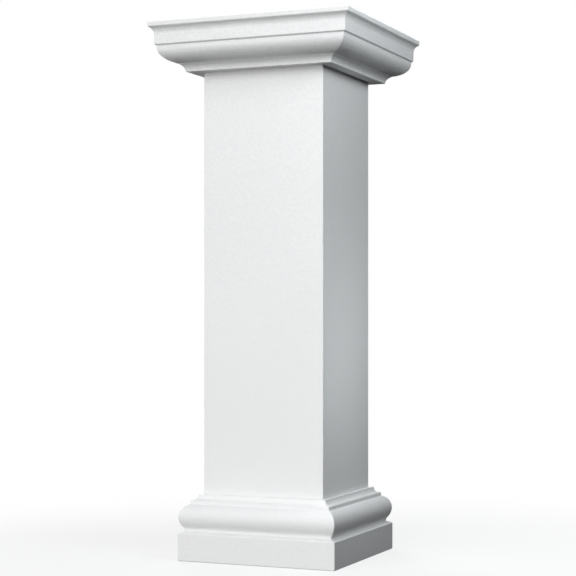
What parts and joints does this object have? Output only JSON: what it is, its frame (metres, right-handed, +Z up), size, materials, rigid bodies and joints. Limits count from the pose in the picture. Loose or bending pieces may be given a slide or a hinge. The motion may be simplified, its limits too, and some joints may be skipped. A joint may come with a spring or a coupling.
{
  "type": "square tuscan column",
  "caption": "Square hollow tuscan column: a plain white shaft with a moulded base on a plinth and a moulded cap.",
  "frame": {"origin": "on the floor, at the middle of the plinth's underside", "axes": "+Z up along the column's axis; the four faces look along +X, -X, +Y and -Y"},
  "size_m": [0.4846, 0.4846, 1.219],
  "materials": {
    "moulding": "matte white, with a fine stipple",
    "shaft": "matte white, smooth"
  },
  "bodies": {
    "root": {"base": "moulding", "shaft": "shaft", "cap": "moulding"}
  },
  "joints": []
}
